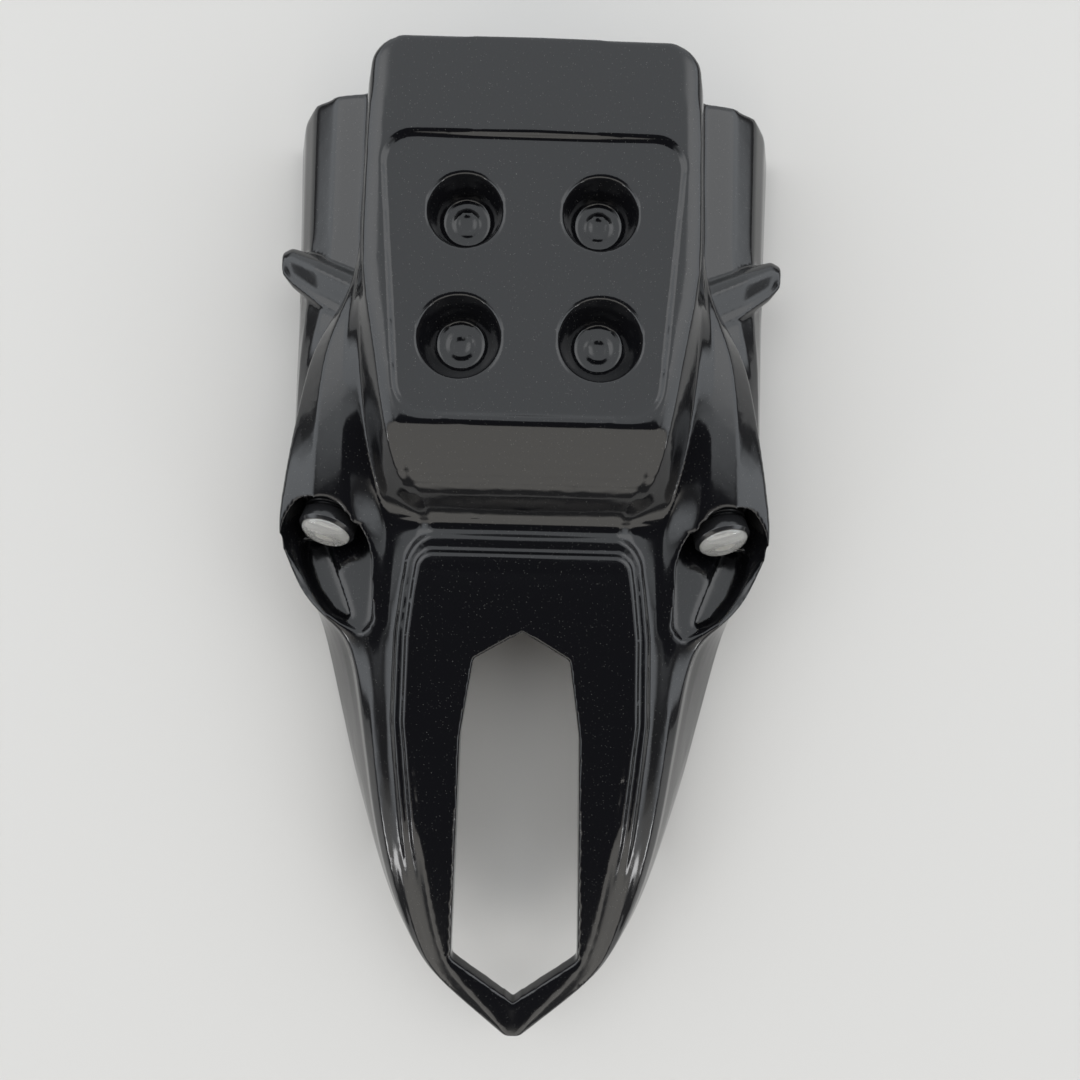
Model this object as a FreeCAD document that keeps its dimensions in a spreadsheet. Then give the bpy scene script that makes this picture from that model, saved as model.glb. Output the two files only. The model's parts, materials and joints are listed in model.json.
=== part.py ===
import FreeCAD, Part
import math
import os

# Moulded tail light cover with two bolt-in lamps, in millimetres.
# Origin at the bottom centre, +X to the right, +Y towards the raised deck, +Z up.
Vector = FreeCAD.Vector
doc = FreeCAD.newDocument("TailLightCover")
sheet = doc.addObject("Spreadsheet::Sheet", "Sizes")

# Cross sections of the outer skin, from the deck end to the nose.
# Each column is one station along Y, each row one feature line on the right half.
stations = [
    "rear", "flare", "cheek", "front", "brow", "foot", "panel", "sill",
    "pad", "fin", "ear", "waist", "slope", "vee", "nose",
]
sections = {
    "station_y": [210, 115, 85, 50, 30, 16, 9.5, 3.6, 1.4, -18, -34, -65, -115, -166, -198.75],
    "centre_z": [67, 71.5, 73.5, 74.4, 67, 44, 46, 46.3, 46.9, 47.6, 47.5, 47, 43.5, 37, 33.5],
    "edge_x": [62, 64, 59, 53, 48.5, 42.5, 43.5, 43.8, 44.3, 48, 49.5, 50, 45.5, 36, 3],
    "edge_z": [66, 70, 72, 73.2, 65.5, 43.8, 45.6, 46, 46.3, 46.8, 46.5, 46, 42.5, 36, 33.5],
    "step_z": [0, 0, 0, 0, 0, 0, 0, 0, 1.3, 1.3, 1.3, 1.3, 1.2, 0.8, 0.3],
    "valley_x": [64, 66, 65.5, 63, 59.5, 56.7, 55.6, 55.1, 54.9, 54.3, 54, 54, 49.5, 38, 3.6],
    "valley_z": [59, 62, 61, 56, 49.5, 43.6, 43.4, 43.4, 43.3, 43.2, 43, 42.5, 39.5, 34.5, 32.5],
    "crest_x": [65.3, 67.6, 76, 78, 78, 77, 75, 73, 72.2, 66, 58.5, 58.5, 53.5, 39.5, 4.2],
    "crest_z": [52, 55, 57, 56.2, 54, 51, 49, 47.2, 46.7, 44, 42, 42, 38.5, 33, 31.5],
    "lip_x": [66.3, 69, 86, 94, 97.5, 99.5, 99.6, 99.2, 98.8, 89, 71, 65.5, 58.5, 41, 4.6],
    "lip_z": [46, 48, 47, 46.6, 46, 45, 44.5, 44, 43.7, 42, 39, 37, 33.5, 30, 30],
    "ledge_x": [68.5, 71.5, 88, 95.5, 98.8, 100.5, 100.4, 100, 99.5, 90.5, 73.5, 68, 60.5, 41.5, 4.8],
    "ledge_z": [36, 35, 35, 35, 34.6, 34, 33.8, 33.5, 33.4, 32.5, 32, 31, 28, 28.5, 29],
    "hip_x": [97, 97, 98, 98.8, 100.3, 101.5, 101.2, 100.5, 100.1, 93, 83, 75, 65, 41.8, 5],
    "hip_z": [24, 25, 27, 27, 24.8, 22, 21.5, 21, 20.8, 19, 17, 17, 17, 27, 27],
    "rim_x": [107.5, 106, 105.5, 105.2, 103.8, 102.5, 101.8, 101, 100.7, 96, 92, 84.5, 70, 42, 5.2],
    "rim_z": [-4, -4, -4, -4, -4, -4, -4, -4, -4, -4, -4, -4, -4, 24, 24],
}
# How many rows of poles lie between each station and the next.
rows_between = [3, 2, 3, 2, 2, 1, 1, 1, 2, 2, 2, 3, 3, 3]

sizes = {
    # The moulding
    "wall": 3,
    "edge_roll": 5,
    "rear_y": 198.75,
    "rear_lean": 8,
    "deck_corner": 14,
    "deck_corner_x": 64.5,
    "shoulder_corner": 7,
    "shoulder_crown": 0.11,
    "shoulder_corner_x": 103.5,
    "shoulder_end_y": 191.5,
    # Pockets in the deck
    "pocket_rear_y": 132.5,
    "pocket_rear_x": 25.5,
    "pocket_rear_mouth_dia": 30,
    "pocket_front_y": 84.5,
    "pocket_front_x": 26.5,
    "pocket_front_mouth_dia": 33.5,
    "pocket_floor_dia": 19,
    "pocket_depth": 15,
    # Shallow recess in the deck
    "recess_depth": 1.6,
    "recess_rear_y": 161.5,
    "recess_front_y": 55,
    "recess_rear_half": 57.6,
    "recess_front_half": 49,
    "recess_corner": 12,
    # Window in the lower panel
    "window_top_y": -27.8,
    "window_shoulder_y": -39,
    "window_shoulder_half": 19.4,
    "window_mid_y": -70,
    "window_mid_half": 24,
    "window_low_y": -165,
    "window_low_half": 26.2,
    "window_end_y": -183.8,
    "window_point_half": 3.5,
    "window_corner": 3,
    "window_flange": 7,
    # Barbs on the shoulders
    "barb_root_x": 71,
    "barb_root_y": 106,
    "barb_root_long": 25,
    "barb_root_z": 41,
    "barb_mid_x": 89,
    "barb_mid_y": 115,
    "barb_mid_long": 23,
    "barb_mid_z": 36.5,
    "barb_tip_x": 102,
    "barb_tip_y": 122.5,
    "barb_tip_long": 17,
    "barb_tip_z": 31,
    "barb_scoop": 4,
    "barb_deep": 15,
    "barb_nose": 4,
    # Lamp buckets and the ears outside them
    "seat_x": 78.6,
    "seat_y": 24.6,
    "seat_z": 31.2,
    "lamp_yaw": 12,
    "lamp_pitch": 30,
    "bucket_dia": 33.5,
    "bucket_reach": 75,
    "trough_inner_x": 61.5,
    "trough_end_y": -31,
    "trough_start_z": 20,
    "trough_rise": 0.36,
    "ear_wall": 4,
    "scoop_drop": 8,
    # Lamps
    "gasket_thick": 1.5,
    "gasket_dia": 20,
    "flange_dia": 23,
    "flange_thick": 2.5,
    "groove_dia": 19,
    "groove_wide": 2,
    "ring_dia": 23,
    "ring_thick": 2.5,
    "head_dia": 23,
    "head_long": 6.5,
    "head_bevel": 1.2,
    "cavity_dia": 16.6,
    "cavity_deep": 5,
    "lens_dia": 19.8,
    "lens_edge": 1.5,
    "lens_dome": 3,
    "lens_play": 0.1,
    "board_thick": 1.2,
    "chip_side": 5,
    "chip_thick": 0.8,
    "stud_dia": 10,
    "stud_long": 20,
    "stud_bore": 5,
    "stud_play": 0.2,
    "washer_dia": 18,
    "washer_thick": 1.2,
    "nut_flats": 14,
    "nut_thick": 5,
    "nut_play": 0.05,
}


def fill_sheet():
    row = 1
    named = dict(sizes)
    for line, values in sections.items():
        for station, value in zip(stations, values):
            named[line + "_" + station] = value
    for name, value in named.items():
        sheet.set("A" + str(row), name)
        sheet.set("B" + str(row), str(value))
        sheet.setAlias("B" + str(row), name)
        row += 1
    doc.recompute()


def size(name):
    return float(sheet.get(name))


fill_sheet()
wall = size("wall")


# Smooth monotone curve through the station values of one feature line.
def curve_at(line, y):
    places = [-size("station_y_" + s) for s in stations]
    values = [size(line + "_" + s) for s in stations]
    last = len(places) - 1
    gaps = [places[i + 1] - places[i] for i in range(last)]
    slopes = [(values[i + 1] - values[i]) / gaps[i] for i in range(last)]
    tangents = [slopes[0]] + [0.0] * (last - 1) + [slopes[-1]]
    for i in range(1, last):
        if slopes[i - 1] * slopes[i] > 0:
            near = 2 * gaps[i] + gaps[i - 1]
            far = gaps[i] + 2 * gaps[i - 1]
            tangents[i] = (near + far) / (near / slopes[i - 1] + far / slopes[i])
    i = 0
    while i < last - 1 and -y > places[i + 1]:
        i += 1
    u = (-y - places[i]) / gaps[i]
    start = (1 + 2 * u) * (1 - u) ** 2 * values[i] + u * (1 - u) ** 2 * gaps[i] * tangents[i]
    end = u * u * (3 - 2 * u) * values[i + 1] + u * u * (u - 1) * gaps[i] * tangents[i + 1]
    return start + end


def blend(a, b, share):
    return a + (b - a) * share


# Right half of one cross section, from the middle out to the rim.
def half_section(y):
    at = {line: curve_at(line, y) for line in sections if line != "station_y"}
    roll = min(size("edge_roll"), 0.3 * at["edge_x"])
    bulge = min(1.0, (at["ledge_z"] - at["rim_z"]) / 40)
    crown = size("shoulder_crown") * (at["hip_x"] - at["ledge_x"])
    return [
        (0.0, at["centre_z"] + at["step_z"]),
        (at["edge_x"] - 1.3 * roll, at["edge_z"] + 0.06 * roll + at["step_z"]),
        (at["edge_x"] - roll, at["edge_z"] + 0.06 * roll),
        (at["edge_x"], at["edge_z"] - 0.3 * roll),
        (at["valley_x"], at["valley_z"]),
        (blend(at["valley_x"], at["crest_x"], 0.6), at["crest_z"]),
        (blend(at["crest_x"], at["lip_x"], 0.3), blend(at["crest_z"], at["lip_z"], 0.2)),
        (at["lip_x"], at["lip_z"]),
        (at["ledge_x"], at["ledge_z"]),
        (blend(at["ledge_x"], at["hip_x"], 0.5), blend(at["ledge_z"], at["hip_z"], 0.5) + crown),
        (blend(at["ledge_x"], at["hip_x"], 0.9), blend(at["ledge_z"], at["hip_z"], 0.9) + bulge),
        (blend(at["hip_x"], at["rim_x"], 0.25) + bulge, blend(at["hip_z"], at["rim_z"], 0.25)),
        (blend(at["hip_x"], at["rim_x"], 0.62) + 1.5 * bulge, blend(at["hip_z"], at["rim_z"], 0.62)),
        (at["rim_x"], at["rim_z"]),
    ]


def row_places():
    places = []
    for i, count in enumerate(rows_between):
        a = size("station_y_" + stations[i])
        b = size("station_y_" + stations[i + 1])
        places += [blend(a, b, k / count) for k in range(count)]
    return places + [size("station_y_nose")]


def whole_row(half, y):
    left = [Vector(-x, y, z) for x, z in reversed(half[1:])]
    return left + [Vector(x, y, z) for x, z in half]


# One feature line as cubic curves along the part, broken where the deck and the panel meet.
def spline(poles, breaks):
    spans = len(poles) - 3
    knots = [i / spans for i in range(spans + 1)]
    curve = Part.BSplineCurve()
    curve.buildFromPolesMultsKnots(poles, [4] + [1] * (spans - 1) + [4], knots, False, 3)
    ends = [0.0] + [knots[i] for i in breaks] + [1.0]
    pieces = []
    for a, b in zip(ends, ends[1:]):
        piece = curve.copy()
        piece.segment(a, b)
        pieces.append(piece.toShape())
    return pieces


# Closed solid under the strips between neighbouring feature lines.
def skin_solid(rows):
    to_front = sum(rows_between[:3])
    to_panel = sum(rows_between[:6])
    breaks = (to_front - 2, to_panel)
    lines = [spline([row[j] for row in rows], breaks) for j in range(len(rows[0]))]
    pairs = list(zip(lines, lines[1:])) + [(lines[0], lines[-1])]
    faces = []
    for near, far in pairs:
        faces += [Part.makeRuledSurface(a, b) for a, b in zip(near, far)]
    for row in (rows[0], rows[-1]):
        faces.append(Part.Face(Part.makePolygon(row + [row[0]])))
    shell = Part.Shell(faces)
    shell.sewShape()
    solid = Part.Solid(shell)
    if solid.Volume < 0:
        solid.reverse()
    return solid


# The hollow: every row moved in by the wall, open below and at the deck end.
def hollow_rows(rows):
    dropped = (1, 2, 5, 6, 11)
    front = size("station_y_front")
    thicker = size("recess_depth")
    vee = size("station_y_vee")
    result = []
    for i, row in enumerate(rows[:-1]):
        middle = len(row) // 2
        moved = []
        for j, p in enumerate(row):
            if abs(j - middle) in dropped:
                continue
            if p.y < vee + 1:
                rim = row[-1]
                top = row[middle].z
                across = (rim.x - wall) / rim.x
                down = (top - wall - rim.z) / (top - rim.z)
                moved.append(Vector(p.x * across, p.y, rim.z + (p.z - rim.z) * down))
                continue
            along = rows[i + 1][j] - rows[max(i - 1, 0)][j]
            over = row[min(j + 1, len(row) - 1)] - row[max(j - 1, 0)]
            inward = over.cross(along)
            inward.normalize()
            level = math.hypot(inward.x, inward.z)
            step = wall / level * min(1 / level, 1.6)
            lower = thicker if p.y > front - 1 and abs(j - middle) < 4 else 0.0
            moved.append(Vector(p.x + inward.x * step, p.y, p.z + inward.z * step - lower))
        moved[0].z = row[0].z - wall - 1
        moved[-1].z = moved[0].z
        result.append(moved)
    for p in result[0]:
        p.y += 2 * wall
    return result


def feature(name, shape):
    item = doc.addObject("Part::Feature", name)
    item.Shape = shape
    return item


def join(name, items):
    item = doc.addObject("Part::MultiFuse", name)
    item.Shapes = items
    return item


def take(name, base, tool):
    item = doc.addObject("Part::Cut", name)
    item.Base = base
    item.Tool = tool
    return item


def overlap(name, base, tool):
    item = doc.addObject("Part::Common", name)
    item.Base = base
    item.Tool = tool
    return item


def box(name, corner, long, wide, high, lean=0):
    item = doc.addObject("Part::Box", name)
    item.Length = long
    item.Width = wide
    item.Height = high
    item.Placement = FreeCAD.Placement(corner, FreeCAD.Rotation(Vector(1, 0, 0), lean))
    return item


def cylinder(name, dia, high, place):
    item = doc.addObject("Part::Cylinder", name)
    item.setExpression("Radius", "(" + dia + ") / 2")
    item.setExpression("Height", high)
    item.Placement = place
    return item


def cone(name, low, top, high, place):
    item = doc.addObject("Part::Cone", name)
    item.setExpression("Radius1", "(" + low + ") / 2")
    item.setExpression("Radius2", "(" + top + ") / 2")
    item.setExpression("Height", high)
    item.Placement = place
    return item


def lifted(place, z):
    return place.multiply(FreeCAD.Placement(Vector(0, 0, z), FreeCAD.Rotation()))


# Upright prism over a flat outline, with its upright edges rounded.
def prism(points, high, corner):
    solid = Part.Face(Part.makePolygon(points + [points[0]])).extrude(Vector(0, 0, high))
    if corner > 0:
        upright = [e for e in solid.Edges if e.tangentAt(e.FirstParameter).cross(Vector(0, 0, 1)).Length < 1e-6]
        solid = solid.makeFillet(corner, upright)
    return solid


rows = [whole_row(half_section(y), y) for y in row_places()]
outer_skin = feature("outer_skin", skin_solid(rows))
hollow = feature("hollow", skin_solid(hollow_rows(rows)))
reach = 2 * size("rim_x_rear")


# Barbs: a lip across each shoulder with a scooped front, tapering to a blunt tip.
def barb_ring(x, y, z, long, scoop, deep):
    ring = [
        (0.42 * long, z - deep),
        (0.5 * long, z - 0.5 * deep),
        (0.33 * long, z - 0.1 * deep),
        (0.07 * long, z),
        (-0.2 * long, z - scoop),
        (-0.4 * long, z - 0.8 * scoop),
        (-0.5 * long, z - 0.6 * deep),
        (-0.42 * long, z - deep),
    ]
    curve = Part.BSplineCurve()
    curve.interpolate(Points=[Vector(x, y + dy, height) for dy, height in ring], PeriodicFlag=True)
    return Part.makePolygon(curve.toShape().discretize(Number=15))


def barb(side):
    wires = []
    for spot, share in (("root", 1.0), ("mid", 0.9), ("tip", 0.65)):
        x = side * size("barb_" + spot + "_x")
        spot_y = size("barb_" + spot + "_y")
        long = size("barb_" + spot + "_long")
        height = size("barb_" + spot + "_z")
        wires.append(barb_ring(x, spot_y, height, long, share * size("barb_scoop"), share * size("barb_deep")))
    x = side * (size("barb_tip_x") + size("barb_nose"))
    long = 0.55 * size("barb_tip_long")
    height = size("barb_tip_z") - 2
    spot_y = size("barb_tip_y") + 1.5
    wires.append(barb_ring(x, spot_y, height, long, 0.0, 0.35 * size("barb_deep")))
    return feature("barb" + str(side), Part.makeLoft(wires, True, True))


barbs = [barb(side) for side in (-1, 1)]
outer_form = join("outer_form", [outer_skin] + barbs)
skin = take("skin", outer_form, hollow)


# Lamp seat: origin in the middle of the bucket floor, local +Z out along the lamp.
def seat_place(side):
    yaw = math.radians(size("lamp_yaw"))
    pitch = math.radians(size("lamp_pitch"))
    flat = math.cos(pitch)
    axis = Vector(side * math.sin(yaw) * flat, -math.cos(yaw) * flat, math.sin(pitch))
    spot = Vector(side * size("seat_x"), size("seat_y"), size("seat_z"))
    return FreeCAD.Placement(spot, FreeCAD.Rotation(Vector(0, 0, 1), axis))


def trough_floor(y, drop):
    return size("trough_start_z") + (size("seat_y") - y) * size("trough_rise") - drop


# Plan outline of the trough beside the panel; grow widens it on the inner side and the end.
def trough_points(side, grow, drop, out):
    inner = size("trough_inner_x") - grow
    end = size("trough_end_y") - grow
    start = size("seat_y") - 11
    plan = [(inner + 5, start), (inner + 2, start - 6), (inner + 0.3, start - 14), (inner, end + 5), (inner + 4, end)]
    steps = [0.12, 0.3, 0.5, 0.7, 0.9]
    for share in steps:
        y = blend(end, size("station_y_panel"), share)
        plan.append((curve_at("lip_x", y) - size("ear_wall") + out, y))
    plan.append((curve_at("lip_x", start) - size("ear_wall") + out, start))
    return [Vector(side * x, y, trough_floor(y, drop)) for x, y in plan]


# Deeper scoop between the ridge in the trough and the ear.
def scoop_points(side, grow, drop, out):
    top = size("station_y_panel") - 3
    end = size("trough_end_y") + 3 - grow
    plan = [(blend(size("trough_inner_x"), curve_at("lip_x", top), 0.62) - grow, top)]
    plan.append((size("trough_inner_x") + 8 - grow, end))
    for share in (0.15, 0.4, 0.7, 1.0):
        y = blend(end, top, share)
        plan.append((curve_at("lip_x", y) - size("ear_wall") + out, y))
    return [Vector(side * x, y, trough_floor(y, drop)) for x, y in plan]


blanks = []
cutters = []
for side in (-1, 1):
    tag = str(side)
    seat = seat_place(side)
    bucket = "Sizes.bucket_dia"
    blanks.append(cylinder("bucket_blank" + tag, bucket + " + 2 * Sizes.wall", "Sizes.wall + 30", lifted(seat, -wall)))
    cutters.append(cylinder("bucket_cut" + tag, bucket, "Sizes.bucket_reach", seat))
    hole = "Sizes.stud_dia + 2 * Sizes.stud_play"
    cutters.append(cylinder("stud_hole" + tag, hole, "2 * Sizes.wall", lifted(seat, -1.5 * wall)))
    high = 60
    out = size("ear_wall") + 6
    drop = size("scoop_drop")
    blanks.append(feature("trough_blank" + tag, prism(trough_points(side, wall, wall, out), high, 0)))
    blanks.append(feature("scoop_blank" + tag, prism(scoop_points(side, wall, drop + wall, out), high, 0)))
    cutters.append(feature("trough_cut" + tag, prism(trough_points(side, 0, 0, 0), high, 2)))
    cutters.append(feature("scoop_cut" + tag, prism(scoop_points(side, 0, drop, 0), high, 2)))


# Deck plane through the middle line, used for the pockets and the recess.
def deck_place(x, y, depth):
    a = size("recess_rear_y")
    b = size("recess_front_y")
    lean = math.atan2(curve_at("centre_z", b) - curve_at("centre_z", a), a - b)
    turn = FreeCAD.Rotation(Vector(1, 0, 0), -math.degrees(lean))
    share = (a - y) / (a - b)
    z = blend(curve_at("centre_z", a), curve_at("centre_z", b), share)
    return lifted(FreeCAD.Placement(Vector(x, y, z), turn), -depth)


over_deck = 6
for row_name in ("rear", "front"):
    for side in (-1, 1):
        tag = row_name + str(side)
        low = "Sizes.pocket_floor_dia"
        deep = "Sizes.pocket_depth"
        mouth = "Sizes.pocket_" + row_name + "_mouth_dia"
        flare = "(" + mouth + " - " + low + ") * " + str(over_deck) + " / " + deep
        x = side * size("pocket_" + row_name + "_x")
        y = size("pocket_" + row_name + "_y")
        floor = deck_place(x, y, size("pocket_depth"))
        high = deep + " + " + str(over_deck)
        cutters.append(cone("pocket_cut" + tag, low, mouth + " + " + flare, high, floor))
        grow = " + 2 * Sizes.wall"
        cup = lifted(floor, -wall)
        blanks.append(cone("pocket_cup" + tag, low + grow, mouth + grow + " + " + flare, high, cup))

recess = [(-1, "rear"), (1, "rear"), (1, "front"), (-1, "front")]
recess_plan = []
for side, end in recess:
    at = deck_place(0, size("recess_" + end + "_y"), size("recess_depth")).Base
    recess_plan.append(Vector(side * size("recess_" + end + "_half"), at.y, at.z))
cutters.append(feature("recess_cut", prism(recess_plan, 20, size("recess_corner"))))


# Window outline on the right half, mirrored to a closed loop.
def window_loop(grow, z_top, z_end):
    top = size("window_top_y")
    end = size("window_end_y")
    right = [
        (size("window_point_half"), top + grow),
        (size("window_shoulder_half") + grow * 0.7, size("window_shoulder_y") + grow * 0.5),
        (size("window_mid_half") + grow, size("window_mid_y")),
        (size("window_low_half") + grow, size("window_low_y") - grow * 0.4),
        (size("window_point_half"), end - grow),
    ]
    loop = right + [(-x, y) for x, y in reversed(right)]
    return [Vector(x, y, blend(z_top, z_end, (top - y) / (top - end))) for x, y in loop]


flange_top = curve_at("centre_z", size("window_top_y")) - size("window_flange")
flange_end = curve_at("centre_z", size("window_end_y")) - size("window_flange")
blanks.append(feature("window_flange_blank", prism(window_loop(wall, flange_top, flange_end), 40, 0)))
cutters.append(feature("window_cut", prism(window_loop(0, -10, -10), 90, size("window_corner"))))

# Flat rim underneath and the leaning cut at the deck end.
cutters.append(box("rim_cut", Vector(-reach, -reach, -50), 2 * reach, 2 * reach + 20, 50))
deck_end = curve_at("centre_z", size("rear_y"))
lean = size("rear_lean")
drop_back = math.tan(math.radians(lean)) * (deck_end + 20)
rear_cut = box("rear_cut", Vector(-reach, size("rear_y") - drop_back, -20), 2 * reach, 60, 150, -lean)
cutters.append(rear_cut)


# Square block with a quarter round left standing, to round off a corner seen from above.
def corner_cut(name, side, x, y, round_size, low, high):
    radius = size(round_size)
    start = x - radius if side > 0 else -x - radius
    block = box(name + "_block", Vector(start, y - radius, low), 2 * radius, 3 * radius, high)
    middle = FreeCAD.Placement(Vector(side * (x - radius), y - radius, low), FreeCAD.Rotation())
    rod = cylinder(name + "_rod", "2 * Sizes." + round_size, str(high), middle)
    return take(name, block, rod)


for side in (-1, 1):
    tag = str(side)
    split = blend(curve_at("lip_z", size("rear_y")), curve_at("ledge_z", size("rear_y")), 0.5)
    deck_x = size("deck_corner_x")
    cutters.append(corner_cut("deck_corner" + tag, side, deck_x, size("rear_y"), "deck_corner", split, 60))
    hip_x = size("shoulder_corner_x")
    end_y = size("shoulder_end_y")
    cutters.append(corner_cut("hip_corner" + tag, side, hip_x, end_y, "shoulder_corner", -10, 60))

blank = join("blank", blanks)
inside = overlap("inside", outer_skin, blank)
cover = join("moulding", [skin, inside])
for tool in cutters:
    cover = take("after_" + tool.Name, cover, tool)
nodes = {"cover_shell": cover}

# Heights along the lamp axis, from the bucket floor outwards.
flange_low = size("gasket_thick")
groove_low = flange_low + size("flange_thick")
ring_low = groove_low + size("groove_wide")
collar_low = ring_low + size("ring_thick")
head_low = collar_low + size("groove_wide")
head_top = head_low + size("head_long")
lens_low = head_top - size("lens_edge")
board_low = lens_low - size("cavity_deep") + size("lens_edge")
chip_low = board_low + size("board_thick")


def lamp_body(side_name, seat):
    play = "2 * Sizes.lens_play"
    straight = "Sizes.head_long - Sizes.head_bevel"
    bevel = "Sizes.head_dia - 2 * Sizes.head_bevel"
    ledge = "Sizes.lens_dia + " + play
    stud_full = "Sizes.stud_long + Sizes.gasket_thick"
    solid = [
        cylinder("flange_" + side_name, "Sizes.flange_dia", "Sizes.flange_thick", lifted(seat, flange_low)),
        cylinder("groove_" + side_name, "Sizes.groove_dia", "Sizes.groove_wide", lifted(seat, groove_low)),
        cylinder("ring_" + side_name, "Sizes.ring_dia", "Sizes.ring_thick", lifted(seat, ring_low)),
        cylinder("collar_" + side_name, "Sizes.groove_dia", "Sizes.groove_wide", lifted(seat, collar_low)),
        cylinder("head_" + side_name, "Sizes.head_dia", straight, lifted(seat, head_low)),
        cone(
            "bevel_" + side_name,
            "Sizes.head_dia",
            bevel,
            "Sizes.head_bevel",
            lifted(seat, head_top - size("head_bevel")),
        ),
        cylinder("stud_" + side_name, "Sizes.stud_dia", stud_full, lifted(seat, -size("stud_long"))),
    ]
    rings = "Sizes.flange_thick + Sizes.ring_thick + 2 * Sizes.groove_wide"
    wire_way = "Sizes.stud_long + Sizes.gasket_thick + Sizes.head_long + " + rings
    hollows = [
        cylinder("ledge_" + side_name, ledge, "Sizes.lens_edge", lifted(seat, lens_low)),
        cylinder("cavity_" + side_name, "Sizes.cavity_dia", "Sizes.cavity_deep", lifted(seat, board_low)),
        cylinder("bore_" + side_name, "Sizes.stud_bore", wire_way, lifted(seat, -size("stud_long"))),
    ]
    whole = join("lamp_solid_" + side_name, solid)
    return take("lamp_" + side_name, whole, join("lamp_hollow_" + side_name, hollows))


# Flat edge with a shallow ball cap on top.
def lens(side_name, seat):
    half = size("lens_dia") / 2
    dome = size("lens_dome")
    ball_radius = (half * half + dome * dome) / (2 * dome)
    ball = doc.addObject("Part::Sphere", "ball_" + side_name)
    square = "Sizes.lens_dia ^ 2 / 4"
    ball.setExpression("Radius", "(" + square + " + Sizes.lens_dome ^ 2) / (2 * Sizes.lens_dome)")
    ball.Placement = lifted(seat, head_top + dome - ball_radius)
    rod = cylinder("rod_" + side_name, "Sizes.lens_dia", "Sizes.lens_edge + Sizes.lens_dome", lifted(seat, lens_low))
    return overlap("lens_" + side_name, rod, ball)


def ring(name, dia, bore, thick, place):
    disc = cylinder(name + "_disc", dia, thick, place)
    eye = cylinder(name + "_eye", bore, thick, place)
    return take(name, disc, eye)


def nut(side_name, place):
    block = doc.addObject("Part::Prism", "hex_" + side_name)
    block.Polygon = 6
    block.setExpression("Circumradius", "Sizes.nut_flats / sqrt(3)")
    block.setExpression("Height", "Sizes.nut_thick")
    block.Placement = place
    eye = cylinder("nut_eye_" + side_name, "Sizes.stud_dia + 2 * Sizes.nut_play", "Sizes.nut_thick", place)
    return take("nut_" + side_name, block, eye)


def chip(side_name, place):
    block = doc.addObject("Part::Box", "chip_" + side_name)
    block.setExpression("Length", "Sizes.chip_side")
    block.setExpression("Width", "Sizes.chip_side")
    block.setExpression("Height", "Sizes.chip_thick")
    half = size("chip_side") / 2
    block.Placement = place.multiply(FreeCAD.Placement(Vector(-half, -half, 0), FreeCAD.Rotation()))
    return block


for side, side_name in ((-1, "left"), (1, "right")):
    seat = seat_place(side)
    stud_eye = "Sizes.stud_dia + 2 * Sizes.stud_play"
    washer_place = lifted(seat, -wall - size("washer_thick"))
    nut_place = lifted(washer_place, -size("nut_thick"))
    board_dia = "Sizes.cavity_dia - 2 * Sizes.lens_play"
    nodes["lamp_body_" + side_name] = lamp_body(side_name, seat)
    nodes["lens_" + side_name] = lens(side_name, seat)
    board = cylinder("board_" + side_name, board_dia, "Sizes.board_thick", lifted(seat, board_low))
    nodes["led_board_" + side_name] = board
    nodes["led_chip_" + side_name] = chip(side_name, lifted(seat, chip_low))
    gasket = ring("gasket_" + side_name, "Sizes.gasket_dia", stud_eye, "Sizes.gasket_thick", seat)
    nodes["gasket_" + side_name] = gasket
    washer = ring("washer_" + side_name, "Sizes.washer_dia", stud_eye, "Sizes.washer_thick", washer_place)
    nodes["lamp_washer_" + side_name] = washer
    nodes["lamp_nut_" + side_name] = nut(side_name, nut_place)

doc.recompute()
for item in doc.Objects:
    if "Invalid" in item.State or "Error" in item.State:
        raise RuntimeError(item.Name + " failed to build")

os.makedirs("parts", exist_ok=True)
for name, item in nodes.items():
    item.Label = name
    if not item.Shape.isValid() or len(item.Shape.Solids) != 1:
        raise RuntimeError(name + " is not one valid solid: " + str(len(item.Shape.Solids)))
    item.Shape.exportStep("parts/" + name + ".step")
    bounds = item.Shape.BoundBox
    print(name, round(item.Shape.Volume), len(item.Shape.Faces), bounds)
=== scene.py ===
import json
import math

import bmesh
import bpy
import numpy as np
from mathutils import Matrix, Vector
from mathutils.bvhtree import BVHTree


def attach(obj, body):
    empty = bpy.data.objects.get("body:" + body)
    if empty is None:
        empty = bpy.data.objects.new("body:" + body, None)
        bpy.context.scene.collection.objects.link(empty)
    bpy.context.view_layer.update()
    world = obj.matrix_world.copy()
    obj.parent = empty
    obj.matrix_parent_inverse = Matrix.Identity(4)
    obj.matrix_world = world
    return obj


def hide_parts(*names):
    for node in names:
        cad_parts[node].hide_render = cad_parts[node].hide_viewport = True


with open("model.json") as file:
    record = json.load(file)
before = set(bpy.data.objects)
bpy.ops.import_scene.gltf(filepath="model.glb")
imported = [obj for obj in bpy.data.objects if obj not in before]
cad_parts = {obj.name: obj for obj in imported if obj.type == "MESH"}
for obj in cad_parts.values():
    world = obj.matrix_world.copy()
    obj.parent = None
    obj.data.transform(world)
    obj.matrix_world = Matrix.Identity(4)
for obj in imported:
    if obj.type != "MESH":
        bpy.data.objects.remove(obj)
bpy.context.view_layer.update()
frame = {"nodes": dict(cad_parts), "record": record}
scene = bpy.context.scene
mm = 0.001
lampSeat = (78.6, 24.6, 31.2)  # middle of the right lamp's seat, in millimetres
print("frame loaded:", len(frame["nodes"]), "nodes")


def plainMesh(obj):
    depsgraph = bpy.context.evaluated_depsgraph_get()
    return bpy.data.meshes.new_from_object(obj.evaluated_get(depsgraph), depsgraph=depsgraph)


def newObject(name, mesh):
    obj = bpy.data.objects.new(name, mesh)
    scene.collection.objects.link(obj)
    return obj


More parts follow.
